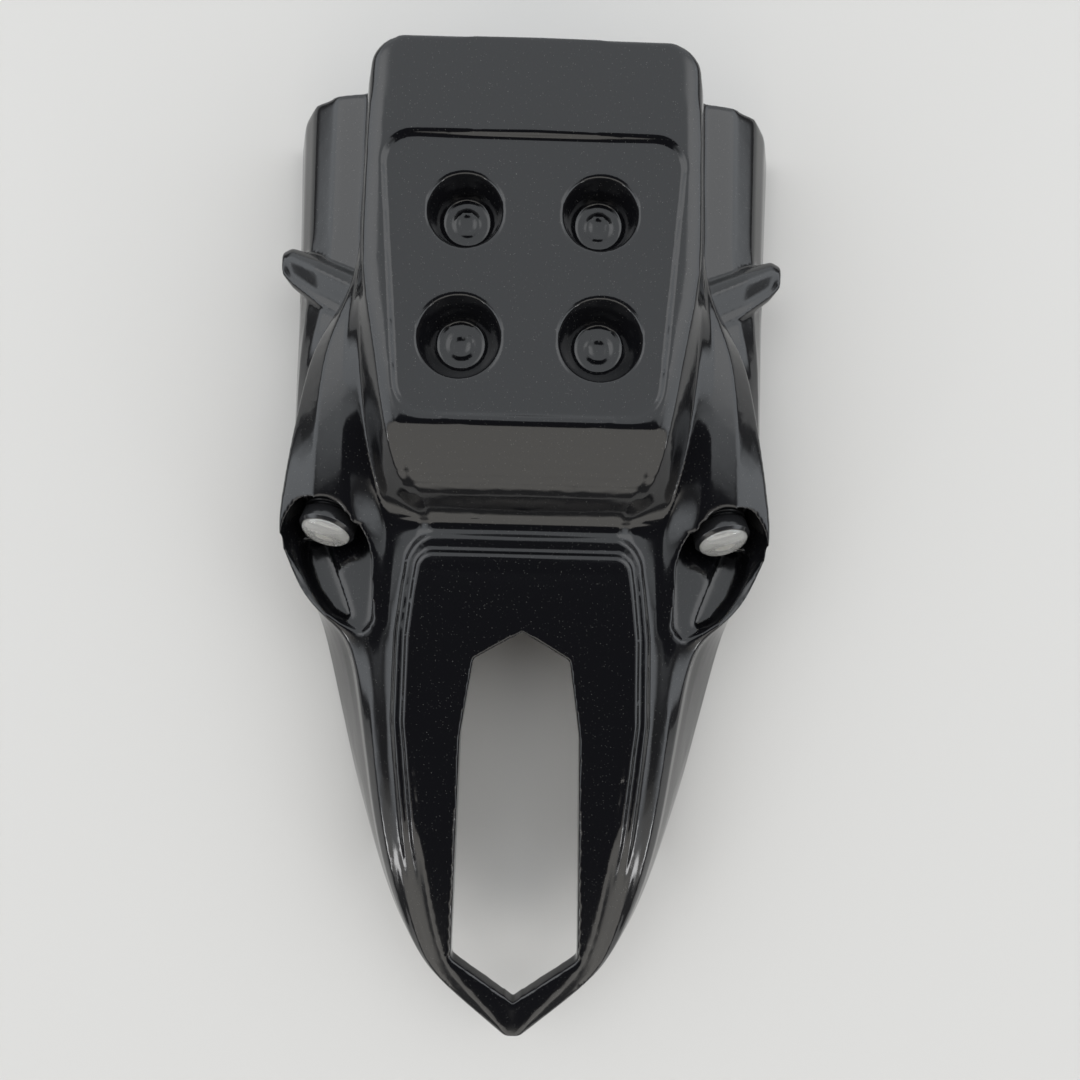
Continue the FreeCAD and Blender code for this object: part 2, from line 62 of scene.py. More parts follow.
def newMaterial(name):
    material = bpy.data.materials.new(name)
    material.use_nodes = True
    nodes = material.node_tree.nodes
    return material, nodes, material.node_tree.links, nodes["Principled BSDF"]


def inputId(tree, name):
    inputs = [item for item in tree.interface.items_tree if item.in_out == "INPUT"]
    return next(item.identifier for item in inputs if item.name == name)


def withNodes(obj, tree, values):
    modifier = obj.modifiers.new(tree.name, "NODES")
    modifier.node_group = tree
    for name, value in values.items():
        modifier[inputId(tree, name)] = value
    mesh = plainMesh(obj)
    obj.modifiers.remove(modifier)
    return mesh


def newTree(name, numbers):
    tree = bpy.data.node_groups.new(name, "GeometryNodeTree")
    tree.interface.new_socket("Geometry", in_out="INPUT", socket_type="NodeSocketGeometry")
    for label, kind, value in numbers:
        socket = tree.interface.new_socket(label, in_out="INPUT", socket_type="NodeSocket" + kind)
        socket.default_value = value
    tree.interface.new_socket("Finish", in_out="INPUT", socket_type="NodeSocketMaterial")
    tree.interface.new_socket("Geometry", in_out="OUTPUT", socket_type="NodeSocketGeometry")
    return tree, tree.nodes, tree.links, tree.nodes.new("NodeGroupInput")


# every tree ends in real faces with their finish
def closeTree(tree, groupIn, geometry):
    nodes, links = tree.nodes, tree.links
    real = nodes.new("GeometryNodeRealizeInstances")
    finish = nodes.new("GeometryNodeSetMaterial")
    links.new(geometry, real.inputs["Geometry"])
    links.new(real.outputs["Geometry"], finish.inputs["Geometry"])
    links.new(groupIn.outputs["Finish"], finish.inputs["Material"])
    links.new(finish.outputs["Geometry"], nodes.new("NodeGroupOutput").inputs[0])


# finishes
paintLook = {  # the moulded cover
    "black": (0.0042, 0.0042, 0.0050, 1.0),
    "flake": (0.06, 0.06, 0.056, 1.0),
    "flakeScale": 3600.0,  # flakes in a metre
    "flakeShare": 0.014,
    "insideBlack": (0.016, 0.016, 0.016, 1.0),
    "gloss": 0.11,
    "insideRough": 0.55,
    "peelScale": 140.0,
    "peelDetail": 2.0,
    "peelDepth": 1.0 * mm,
    "peel": 0.03,
    "ior": 1.5,
}
lensLook = {"tint": (0.97, 0.965, 0.94, 1.0), "rough": 0.015, "ior": 1.49, "clear": 0.79}
plainLooks = {  # colour, roughness, metal
    "lampBlack": ((0.014, 0.014, 0.015, 1.0), 0.15, 0.0),
    "boardWhite": ((0.84, 0.82, 0.76, 1.0), 0.35, 0.0),
    "chipYellow": ((0.85, 0.75, 0.38, 1.0), 0.3, 0.0),
    "gasketRubber": ((0.012, 0.012, 0.012, 1.0), 0.7, 0.0),
    "fixingSteel": ((0.62, 0.62, 0.60, 1.0), 0.32, 1.0),
    "floorPale": ((0.56, 0.545, 0.525, 1.0), 0.6, 0.0),
}


def flakeGroup():
    group = bpy.data.node_groups.new("paintFlake", "ShaderNodeTree")
    for name in ("Scale", "Share"):
        group.interface.new_socket(name, in_out="INPUT", socket_type="NodeSocketFloat")
    group.interface.new_socket("Mask", in_out="OUTPUT", socket_type="NodeSocketFloat")
    nodes, links = group.nodes, group.links
    groupIn = nodes.new("NodeGroupInput")
    groupOut = nodes.new("NodeGroupOutput")
    place = nodes.new("ShaderNodeTexCoord")
    cells = nodes.new("ShaderNodeTexVoronoi")
    split = nodes.new("ShaderNodeSeparateColor")
    pick = nodes.new("ShaderNodeMath")
    pick.operation = "LESS_THAN"
    glow = nodes.new("ShaderNodeMath")
    glow.operation = "MULTIPLY"
    links.new(place.outputs["Object"], cells.inputs["Vector"])
    links.new(groupIn.outputs["Scale"], cells.inputs["Scale"])
    links.new(cells.outputs["Color"], split.inputs["Color"])
    links.new(split.outputs["Red"], pick.inputs[0])
    links.new(groupIn.outputs["Share"], pick.inputs[1])
    links.new(pick.outputs[0], glow.inputs[0])
    links.new(split.outputs["Green"], glow.inputs[1])
    links.new(glow.outputs[0], groupOut.inputs["Mask"])
    return group


def coverPaint():
    material, nodes, links, shader = newMaterial("coverPaint")
    mask = nodes.new("ShaderNodeGroup")
    mask.node_tree = flakeGroup()
    mask.inputs["Scale"].default_value = paintLook["flakeScale"]
    mask.inputs["Share"].default_value = paintLook["flakeShare"]
    inside = nodes.new("ShaderNodeAttribute")
    inside.attribute_name = "insideMask"
    tint = nodes.new("ShaderNodeMix")
    tint.data_type = "RGBA"
    tint.inputs["A"].default_value = paintLook["black"]
    tint.inputs["B"].default_value = paintLook["flake"]
    links.new(mask.outputs["Mask"], tint.inputs["Factor"])
    bare = nodes.new("ShaderNodeMix")
    bare.data_type = "RGBA"
    bare.inputs["B"].default_value = paintLook["insideBlack"]
    links.new(inside.outputs["Fac"], bare.inputs["Factor"])
    links.new(tint.outputs["Result"], bare.inputs["A"])
    links.new(bare.outputs["Result"], shader.inputs["Base Color"])
    rough = nodes.new("ShaderNodeMapRange")
    rough.inputs["To Min"].default_value = paintLook["gloss"]
    rough.inputs["To Max"].default_value = paintLook["insideRough"]
    links.new(inside.outputs["Fac"], rough.inputs["Value"])
    links.new(rough.outputs["Result"], shader.inputs["Roughness"])
    place = nodes.new("ShaderNodeTexCoord")
    peel = nodes.new("ShaderNodeTexNoise")
    peel.inputs["Scale"].default_value = paintLook["peelScale"]
    peel.inputs["Detail"].default_value = paintLook["peelDetail"]
    bump = nodes.new("ShaderNodeBump")
    bump.inputs["Strength"].default_value = paintLook["peel"]
    bump.inputs["Distance"].default_value = paintLook["peelDepth"]
    links.new(place.outputs["Object"], peel.inputs["Vector"])
    links.new(peel.outputs["Fac"], bump.inputs["Height"])
    links.new(bump.outputs["Normal"], shader.inputs["Normal"])
    shader.inputs["IOR"].default_value = paintLook["ior"]
    return material


def plainFinish(name, colour, roughness, metallic):
    material, nodes, links, shader = newMaterial(name)
    shader.inputs["Base Color"].default_value = colour
    shader.inputs["Roughness"].default_value = roughness
    shader.inputs["Metallic"].default_value = metallic
    return material


def lensFinish():
    material, nodes, links, shader = newMaterial("lensClear")
    shader.inputs["Base Color"].default_value = lensLook["tint"]
    shader.inputs["Roughness"].default_value = lensLook["rough"]
    shader.inputs["IOR"].default_value = lensLook["ior"]
    shader.inputs["Transmission Weight"].default_value = lensLook["clear"]
    return material


paint = coverPaint()
lensClear = lensFinish()
finishes = {name: plainFinish(name, *look) for name, look in plainLooks.items()}
print("finishes made")

# the moulded cover: the solid's own surface on a fine grid, with every edge rounded
coverSizes = {
    "weld": 0.01 * mm,
    "voxel": 0.8 * mm,
    "softenTimes": 8,  # more rounds give rounder edges
    "softenShare": 0.5,
    "roundTimes": 60,  # more rounds on the shoulders and the rear corners
    "shoulderSide": (64.0 * mm, 70.0 * mm),
    "shoulderHeight": (5.0 * mm, 10.0 * mm, 43.0 * mm, 48.0 * mm),
    "shoulderAlong": (130.0 * mm, 138.0 * mm, 182.0 * mm, 188.0 * mm),
    # low and high corners of the blocks that blunt the thin rear edges, right side, in millimetres
    "edgeCuts": [((58.0, 186.5, 40.5), (70.0, 206.0, 61.5))],
    "cornerSide": (50.0 * mm, 57.0 * mm),
    "cornerAlong": (172.0 * mm, 181.0 * mm),
    "lipTimes": 14,  # more rounds on the lips of the lamp buckets
    "lipSide": (46.0 * mm, 52.0 * mm),
    "lipAlong": (-62.0 * mm, -52.0 * mm, 28.0 * mm, 34.0 * mm),
    "lipHeight": (8.0 * mm, 14.0 * mm),
    "lipSeat": (14.5 * mm, 18.0 * mm),  # the seat is left sharp inside this distance
    "mostTriangles": 190000,
    "markRadius": 4.2 * mm,  # raised ring on each pocket floor
    "markThick": 0.85 * mm,
    "markSunk": 0.2 * mm,
    "markSegments": (48, 12),
    # how far the front of the deck is drawn down to a straight slope, and where, in millimetres
    "browDrops": (0.0, 3.4, 5.2, 6.1, 5.8, 4.7, 3.1, 1.1, 0.0),
    "browAlong": (17.0, 26.0, 30.0, 34.0, 38.0, 42.0, 46.0, 50.0, 51.8),
    "browTimes": 12,  # more rounds on the crest of the brow
    "crestAlong": (45.0 * mm, 48.0 * mm, 58.0 * mm, 62.0 * mm),
    "crestHeight": (60.0 * mm, 66.0 * mm),
    "browAcross": (46.0 * mm, 58.0 * mm),
    "browHeight": (34.0 * mm, 42.0 * mm),
    "recessSink": 0.8 * mm,  # added depth of the shallow recess in the deck
    "recessEnds": (55.0 * mm, 161.5 * mm),
    "recessHalves": (49.0 * mm, 57.6 * mm),
    "recessCorner": 12.0 * mm,
    "recessStep": 1.2 * mm,
    "deckHeight": (59.0 * mm, 65.0 * mm),
    "deckTilt": (-0.6, 0.0),
    "insideTilt": 0.35,  # a face that looks up more steeply than this is never inside
    "insideLift": 0.4 * mm,
    "insideBlend": 3,
}

# the double rim round the raised panel, in millimetres
panelSizes = {
    "places": [-150.0, -115.0, -65.0, -30.0, -10.0, 4.0],  # along Y
    "halves": [37.5, 42.8, 47.4, 46.8, 44.6, 42.6],  # half width of the plateau there
    "heights": [39.5, 44.1, 47.75, 48.4, 48.4, 48.25],  # height of the plateau there
    "fall": 0.012,  # slope of the plateau to each side
    "middleHalf": 30.0,
    "topEnd": 3.8,
    "corner": 6.0,
    "step": 1.0,  # half the width of each rounded edge
    "softenTimes": 7,
    "softenReach": (2.0, 4.0),  # in steps past the terrace
    "tilt": (0.2, 0.5),
    "terraceDrop": 1.75,
    "terraceSide": 4.2,
    "terraceTop": 6.8,
    "fade": (-140.0, -95.0),
    "inner": (-8.0, -5.0),
    "lowest": 30.0,
    # the window's ends come to a point: place of the end, direction, half of its flat,
    # half width and depth of the corner beside it, pull
    "points": [(-27.8, 1.0, 3.5, 19.4, 11.2, 2.0), (-183.8, -1.0, 3.5, 26.2, 18.8, 2.5)],
    "pointReach": (2.0, 11.0),
}


def pocketMarkTree():
    tree, nodes, links, groupIn = newTree("pocketMarks", (
        ("Radius", "Float", 4.0 * mm), ("Thickness", "Float", 1.0 * mm),
        ("Tilt", "Vector", (0.0, 0.0, 0.0))))
    circle = nodes.new("GeometryNodeCurvePrimitiveCircle")
    circle.inputs["Resolution"].default_value = coverSizes["markSegments"][0]
    tube = nodes.new("GeometryNodeCurvePrimitiveCircle")
    tube.inputs["Resolution"].default_value = coverSizes["markSegments"][1]
    sweep = nodes.new("GeometryNodeCurveToMesh")
    spread = nodes.new("GeometryNodeInstanceOnPoints")
    links.new(groupIn.outputs["Radius"], circle.inputs["Radius"])
    links.new(groupIn.outputs["Thickness"], tube.inputs["Radius"])
    links.new(circle.outputs["Curve"], sweep.inputs["Curve"])
    links.new(tube.outputs["Curve"], sweep.inputs["Profile Curve"])
    links.new(groupIn.outputs["Geometry"], spread.inputs["Points"])
    links.new(sweep.outputs["Mesh"], spread.inputs["Instance"])
    links.new(groupIn.outputs["Tilt"], spread.inputs["Rotation"])
    closeTree(tree, groupIn, spread.outputs["Instances"])
    return tree


def pocketMarks():
    floors = [mount for mount in frame["record"]["mounts"] if mount["name"].startswith("pocket")]
    spots = bpy.data.meshes.new("pocketSpots")
    normal = Vector(floors[0]["axis"]).normalized()
    sunk = normal * coverSizes["markSunk"]
    spots.from_pydata([Vector(mount["pos_m"]) - sunk for mount in floors], [], [])
    holder = newObject("pocketSpots", spots)
    mesh = withNodes(holder, pocketMarkTree(), {
        "Radius": coverSizes["markRadius"], "Thickness": coverSizes["markThick"],
        "Tilt": Vector((-math.atan2(normal.y, normal.z), 0.0, 0.0)), "Finish": paint})
    bpy.data.objects.remove(holder)
    return mesh


# faces under the roof of the cover get the bare finish
def insideMask(mesh):
    tree = BVHTree.FromPolygons([v.co for v in mesh.vertices], [p.vertices for p in mesh.polygons])
    up = Vector((0.0, 0.0, 1.0))
    mask = np.zeros(len(mesh.vertices))
    for vertex in mesh.vertices:
        if vertex.normal.z < coverSizes["insideTilt"]:
            start = vertex.co + vertex.normal * coverSizes["insideLift"]
            mask[vertex.index] = tree.ray_cast(start, up)[0] is not None
    ends = np.empty(2 * len(mesh.edges), dtype=np.int64)
    mesh.edges.foreach_get("vertices", ends)
    ends = ends.reshape(-1, 2)
    count = np.maximum(np.bincount(ends.ravel(), minlength=len(mask)), 1)
    for _ in range(coverSizes["insideBlend"]):
        total = np.bincount(ends[:, 0], mask[ends[:, 1]], len(mask))
        total += np.bincount(ends[:, 1], mask[ends[:, 0]], len(mask))
        mask = 0.5 * mask + 0.5 * total / count
    layer = mesh.attributes.new("insideMask", "FLOAT", "POINT")
    layer.data.foreach_set("value", mask.astype(np.float32))


def smoothStep(low, high, value):
    share = np.clip((value - low) / (high - low), 0.0, 1.0)
    return share * share * (3.0 - 2.0 * share)


def between(limits, value):
    return smoothStep(*limits[:2], value) * (1.0 - smoothStep(*limits[2:], value))


# distance outside a rounded rectangle, from the distances past the middles of its corners
def outsideRounded(overSide, overEnd, corner):
    outside = np.hypot(np.maximum(overSide, 0.0), np.maximum(overEnd, 0.0))
    return outside + (np.minimum(np.maximum(overSide, overEnd), 0.0) - corner)


def vertexArray(mesh, kind):
    values = np.empty(3 * len(mesh.vertices))
    mesh.vertices.foreach_get(kind, values)
    return values.reshape(-1, 3)


def movePoints(mesh, points):
    mesh.vertices.foreach_set("co", points.ravel())
    mesh.update()


def softenWhere(cover, share, times):
    group = cover.vertex_groups.new(name="softenShare")
    for index in np.flatnonzero(share > 0.01):
        group.add([int(index)], float(share[index]), "REPLACE")
    soften = cover.modifiers.new("softenWhere", "SMOOTH")
    soften.factor = coverSizes["softenShare"]
    soften.iterations = times
    soften.vertex_group = group.name
    cover.data = plainMesh(cover)
    cover.modifiers.clear()
    cover.vertex_groups.clear()


# shoulders, rear corners and lips of the lamp buckets
def roundEdges(cover):
    points = vertexArray(cover.data, "co")
    side, along, height = np.abs(points[:, 0]), points[:, 1], points[:, 2]
    shoulder = smoothStep(*coverSizes["shoulderSide"], side)
    shoulder *= between(coverSizes["shoulderHeight"], height)
    shoulder *= between(coverSizes["shoulderAlong"], along)
    corner = smoothStep(*coverSizes["cornerSide"], side)
    corner *= smoothStep(*coverSizes["cornerAlong"], along)
    seatOff = np.column_stack((side, along, height)) - np.array(lampSeat) * mm
    lip = smoothStep(*coverSizes["lipSide"], side) * between(coverSizes["lipAlong"], along)
    lip *= smoothStep(*coverSizes["lipHeight"], height)
    lip *= smoothStep(*coverSizes["lipSeat"], np.linalg.norm(seatOff, axis=1))
    softenWhere(cover, np.maximum(shoulder, corner), coverSizes["roundTimes"])
    softenWhere(cover, lip, coverSizes["lipTimes"])


# the straight slope of the brow and the recess in the deck
def shapeDeck(cover):
    points = vertexArray(cover.data, "co")
    tilt = vertexArray(cover.data, "normal")[:, 2]
    side, along, height = np.abs(points[:, 0]), points[:, 1], points[:, 2].copy()
    drop = np.interp(along / mm, coverSizes["browAlong"], coverSizes["browDrops"]) * mm
    drop *= 1.0 - smoothStep(*coverSizes["browAcross"], side)
    drop *= smoothStep(*coverSizes["browHeight"], height)
    front, rear = coverSizes["recessEnds"]
    corner, step = coverSizes["recessCorner"], coverSizes["recessStep"]
    half = np.interp(along, coverSizes["recessEnds"], coverSizes["recessHalves"])
    overEnd = np.abs(along - 0.5 * (front + rear)) - 0.5 * (rear - front) + corner
    sink = 1.0 - smoothStep(-step, step, outsideRounded(side - half + corner, overEnd, corner))
    sink *= smoothStep(*coverSizes["deckHeight"], height) * smoothStep(*coverSizes["deckTilt"], tilt)
    points[:, 2] -= drop + coverSizes["recessSink"] * sink
    movePoints(cover.data, points)
    crest = between(coverSizes["crestAlong"], along) * smoothStep(*coverSizes["crestHeight"], height)
    crest *= 1.0 - smoothStep(*coverSizes["browAcross"], side)
    softenWhere(cover, crest, coverSizes["browTimes"])


def edgeBlocks():
    work = bmesh.new()
    for low, high in coverSizes["edgeCuts"]:
        for side in (-1.0, 1.0):
            middle = [0.5 * (a + b) * mm for a, b in zip(low, high)]
            middle[0] *= side
            spans = [(b - a) * mm for a, b in zip(low, high)]
            place = Matrix.Translation(middle) @ Matrix.Diagonal(spans + [1.0])
            bmesh.ops.create_cube(work, size=1.0, matrix=place)
    mesh = bpy.data.meshes.new("edgeBlocks")
    work.to_mesh(mesh)
    work.free()
    return newObject("edgeBlocks", mesh)


def shapePanel(cover):
    points = vertexArray(cover.data, "co")
    tilt = vertexArray(cover.data, "normal")[:, 2]
    side, along, height = np.abs(points[:, 0]) / mm, points[:, 1] / mm, points[:, 2] / mm
    places, corner, step = panelSizes["places"], panelSizes["corner"], panelSizes["step"]
    overSide = side - np.interp(along, places, panelSizes["halves"]) + corner
    overTop = along - panelSizes["topEnd"] + corner
    outside = outsideRounded(overSide, overTop, corner)
    plateau = np.interp(along, places, panelSizes["heights"])
    plateau -= panelSizes["fall"] * (side - panelSizes["middleHalf"])
    target = plateau - panelSizes["terraceDrop"] * smoothStep(-step, step, outside)
    turn = np.arctan2(np.maximum(overTop, 0.0), np.maximum(overSide, 1e-6)) / (0.5 * math.pi)
    end = panelSizes["terraceSide"] + (panelSizes["terraceTop"] - panelSizes["terraceSide"]) * turn
    rim = smoothStep(*panelSizes["inner"], outside)
    share = rim * (1.0 - smoothStep(end - step, end + step, outside))
    near = smoothStep(*panelSizes["fade"], along) * (height > panelSizes["lowest"])
    near *= smoothStep(*panelSizes["tilt"], tilt)
    points[:, 2] += near * share * np.maximum(target - height, 0.0) * mm
    movePoints(cover.data, points)
    first, last = panelSizes["softenReach"]
    near *= rim * (1.0 - smoothStep(end + first * step, end + last * step, outside))
    softenWhere(cover, near, panelSizes["softenTimes"])


def pointWindow(mesh):
    points = vertexArray(mesh, "co")
    side = np.abs(points[:, 0]) / mm
    for end, direction, flat, half, depth, pull in panelSizes["points"]:
        slope = depth * np.maximum(side - flat, 0.0) / (half - flat)
        beyond = direction * (points[:, 1] / mm - end) + slope
        share = (1.0 - smoothStep(*panelSizes["pointReach"], np.abs(beyond))) * (side < half)
        pulled = np.interp(side, (0.0, flat, half), (0.0, pull, 0.0))
        points[:, 1] -= direction * share * pulled * mm
    movePoints(mesh, points)


# crumbs that the grid leaves inside the walls are dropped
def keepLargest(mesh):
    work = bmesh.new()
    work.from_mesh(mesh)
    islands = []
    seen = set()
    for start in work.verts:
        if start in seen:
            continue
        seen.add(start)
        island = [start]
        for vertex in island:
            for edge in vertex.link_edges:
                other = edge.other_vert(vertex)
                if other not in seen:
                    seen.add(other)
                    island.append(other)
        islands.append(island)
    islands.sort(key=len)
    for island in islands[:-1]:
        bmesh.ops.delete(work, geom=island, context="VERTS")
    work.to_mesh(mesh)
    work.free()


def makeCover():
    work = bmesh.new()
    work.from_mesh(frame["nodes"]["cover_shell"].data)
    bmesh.ops.remove_doubles(work, verts=work.verts, dist=coverSizes["weld"])
    mesh = bpy.data.meshes.new("coverRough")
    work.to_mesh(mesh)
    work.free()
    cover = newObject("coverShell", mesh)
    blocks = edgeBlocks()
    trim = cover.modifiers.new("trim", "BOOLEAN")
    trim.operation = "DIFFERENCE"
    trim.solver = "EXACT"
    trim.object = blocks
    trimmed = plainMesh(cover)
    cover.modifiers.clear()
    bpy.data.objects.remove(blocks)
    work = bmesh.new()
    work.from_mesh(trimmed)
    work.from_mesh(pocketMarks())
    work.to_mesh(trimmed)
    work.free()
    cover.data = trimmed
    grid = cover.modifiers.new("grid", "REMESH")
    grid.mode = "VOXEL"
    grid.voxel_size = coverSizes["voxel"]
    soften = cover.modifiers.new("soften", "SMOOTH")
    soften.factor = coverSizes["softenShare"]
    soften.iterations = coverSizes["softenTimes"]
    cover.data = plainMesh(cover)
    cover.modifiers.clear()
    roundEdges(cover)
    shapeDeck(cover)
    shapePanel(cover)
    pointWindow(cover.data)
    triangles = 2 * len(cover.data.polygons)
    if triangles > coverSizes["mostTriangles"]:
        thin = cover.modifiers.new("thin", "DECIMATE")
        thin.ratio = coverSizes["mostTriangles"] / triangles
        cover.data = plainMesh(cover)
        cover.modifiers.clear()
    keepLargest(cover.data)
    insideMask(cover.data)
    cover.data.shade_smooth()
    cover.data.materials.clear()
    cover.data.materials.append(paint)
    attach(cover, "root")
    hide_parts("cover_shell")
    print("cover made:", triangles, "triangles on the grid,", len(cover.data.polygons), "faces kept")


makeCover()


# a tree that spins a profile, held in a line of edges, about the Z axis
def spinTree():
    tree, nodes, links, groupIn = newTree("spunProfile", (("Points", "Int", 2), ("Segments", "Int", 64)))

    def calc(kind, first, second=None):
        node = nodes.new("ShaderNodeMath")
        node.operation = kind
        for socket, value in zip(node.inputs, (first, second)):
            if isinstance(value, (int, float)):
                socket.default_value = value
            elif value is not None:
                links.new(value, socket)
        return node.outputs[0]

    sheet = nodes.new("GeometryNodeMeshGrid")
    links.new(calc("ADD", groupIn.outputs["Segments"], 1.0), sheet.inputs["Vertices X"])
    links.new(groupIn.outputs["Points"], sheet.inputs["Vertices Y"])
    sheet.inputs["Size X"].default_value = 1.0
    sheet.inputs["Size Y"].default_value = 1.0
    where = nodes.new("GeometryNodeInputPosition")
    parts = nodes.new("ShaderNodeSeparateXYZ")
    links.new(where.outputs[0], parts.inputs[0])
    turn = calc("MULTIPLY", calc("ADD", parts.outputs["X"], 0.5), 2.0 * math.pi)
    last = calc("SUBTRACT", groupIn.outputs["Points"], 1.0)
    index = calc("ROUND", calc("MULTIPLY", calc("ADD", parts.outputs["Y"], 0.5), last))
    sample = nodes.new("GeometryNodeSampleIndex")
    sample.data_type = "FLOAT_VECTOR"
    sample.domain = "POINT"
    links.new(groupIn.outputs["Geometry"], sample.inputs["Geometry"])
    links.new(where.outputs[0], sample.inputs["Value"])
    links.new(index, sample.inputs["Index"])
    profile = nodes.new("ShaderNodeSeparateXYZ")
    links.new(sample.outputs["Value"], profile.inputs[0])
    spun = nodes.new("ShaderNodeCombineXYZ")
    links.new(calc("MULTIPLY", profile.outputs["X"], calc("COSINE", turn)), spun.inputs["X"])
    links.new(calc("MULTIPLY", profile.outputs["X"], calc("SINE", turn)), spun.inputs["Y"])
    links.new(profile.outputs["Z"], spun.inputs["Z"])
    place = nodes.new("GeometryNodeSetPosition")
    links.new(sheet.outputs["Mesh"], place.inputs["Geometry"])
    links.new(spun.outputs[0], place.inputs["Position"])
    weld = nodes.new("GeometryNodeMergeByDistance")
    weld.inputs["Distance"].default_value = 1e-6
    links.new(place.outputs["Geometry"], weld.inputs["Geometry"])
    closeTree(tree, groupIn, weld.outputs["Geometry"])
    return tree


# a tree that winds a screw thread about the Z axis
def threadTree():
    tree, nodes, links, groupIn = newTree("studThread", (
        ("Radius", "Float", 5.0 * mm), ("Height", "Float", 10.0 * mm),
        ("Turns", "Float", 8.0), ("Depth", "Float", 0.6 * mm)))
    spiral = nodes.new("GeometryNodeCurveSpiral")
    spiral.inputs["Resolution"].default_value = 32
    ridge = nodes.new("GeometryNodeCurvePrimitiveCircle")
    ridge.inputs["Resolution"].default_value = 4
    sweep = nodes.new("GeometryNodeCurveToMesh")
    sweep.inputs["Fill Caps"].default_value = True
    links.new(groupIn.outputs["Turns"], spiral.inputs["Rotations"])
    links.new(groupIn.outputs["Radius"], spiral.inputs["Start Radius"])
    links.new(groupIn.outputs["Radius"], spiral.inputs["End Radius"])
    links.new(groupIn.outputs["Height"], spiral.inputs["Height"])
    links.new(groupIn.outputs["Depth"], ridge.inputs["Radius"])
    links.new(spiral.outputs["Curve"], sweep.inputs["Curve"])
    links.new(ridge.outputs["Curve"], sweep.inputs["Profile Curve"])
    closeTree(tree, groupIn, sweep.outputs["Mesh"])
    return tree


# corners of a profile become short arcs
def rounded(corners, radius, steps=4, most=0.45):
    line = []
    for number, corner in enumerate(corners):
        point = Vector(corner[:2])
        reach = corner[2] if len(corner) > 2 else radius
        if number in (0, len(corners) - 1) or reach <= 0.0:
            line.append(point)
            continue
        before = Vector(corners[number - 1][:2]) - point
        after = Vector(corners[number + 1][:2]) - point
        reach = min(reach, most * before.length, most * after.length)
        start = point + before.normalized() * reach
        end = point + after.normalized() * reach
        for step in range(steps + 1):
            share = step / steps
            line.append((1 - share) ** 2 * start + 2 * share * (1 - share) * point + share ** 2 * end)
    return line


spunProfile = spinTree()
studThread = threadTree()

# lamps: radius and height along the axis from the seat, in millimetres
lampSizes = {
    "axis": (0.180, -0.847, 0.5),  # right lamp
    "segments": 96,
    "edge": 0.35,
    "body": [
        (2.5, -20), (2.5, 12), (8.3, 12), (8.3, 15.4), (9.95, 15.4), (9.95, 17.0), (10.3, 17.0),
        (11.5, 15.8), (11.5, 10.5), (9.5, 10.5), (9.5, 8.5), (11.5, 8.5), (11.5, 6.0), (9.5, 6.0),
        (9.5, 4.0), (11.5, 4.0), (11.5, 1.5), (5.0, 1.5), (5.0, -19.4), (4.4, -20.0), (2.5, -20),
    ],
    "lensRadius": 9.88,
    "lensLow": 15.5,
    "lensEdge": 17.0,
    "lensDome": 3.0,
    "lensCorners": (0.2, 0.3),
    "lensAngles": range(10, 90, 8),
    "sharpAngle": 35.0,
    "threadRadius": 5.0,
    "threadStart": -19.4,
    "threadHeight": 14.0,
    "threadPitch": 1.25,
    "threadDepth": 0.35,
}


def spunPiece(name, corners, edge, material):
    line = rounded([[value * mm for value in corner] for corner in corners], edge * mm)
    mesh = bpy.data.meshes.new(name)
    edges = [(i, i + 1) for i in range(len(line) - 1)]
    mesh.from_pydata([(p[0], 0.0, p[1]) for p in line], edges, [])
    obj = newObject(name, mesh)
    obj.data = withNodes(obj, spunProfile, {
        "Points": len(line), "Segments": lampSizes["segments"], "Finish": material})
    work = bmesh.new()
    work.from_mesh(obj.data)
    bmesh.ops.recalc_face_normals(work, faces=work.faces)
    work.to_mesh(obj.data)
    work.free()
    return obj


def addThread(obj):
    holder = newObject("threadHolder", bpy.data.meshes.new("threadHolder"))
    turns = lampSizes["threadHeight"] / lampSizes["threadPitch"]
    thread = withNodes(holder, studThread, {
        "Radius": lampSizes["threadRadius"] * mm, "Height": lampSizes["threadHeight"] * mm,
        "Turns": turns, "Depth": lampSizes["threadDepth"] * mm, "Finish": finishes["lampBlack"]})
    bpy.data.objects.remove(holder)
    thread.transform(Matrix.Translation((0.0, 0.0, lampSizes["threadStart"] * mm)))
    work = bmesh.new()
    work.from_mesh(thread)
    bmesh.ops.recalc_face_normals(work, faces=work.faces)
    work.from_mesh(obj.data)
    work.to_mesh(obj.data)
    work.free()


def seatPlace(side):
    ax, ay, az = lampSizes["axis"]
    axis = Vector((side * ax, ay, az)).normalized()
    across = Vector((0.0, 0.0, 1.0)).cross(axis).normalized()
    turn = Matrix((across, axis.cross(across), axis)).transposed().to_4x4()
    sx, sy, sz = lampSeat
    return Matrix.Translation(Vector((side * sx, sy, sz)) * mm) @ turn


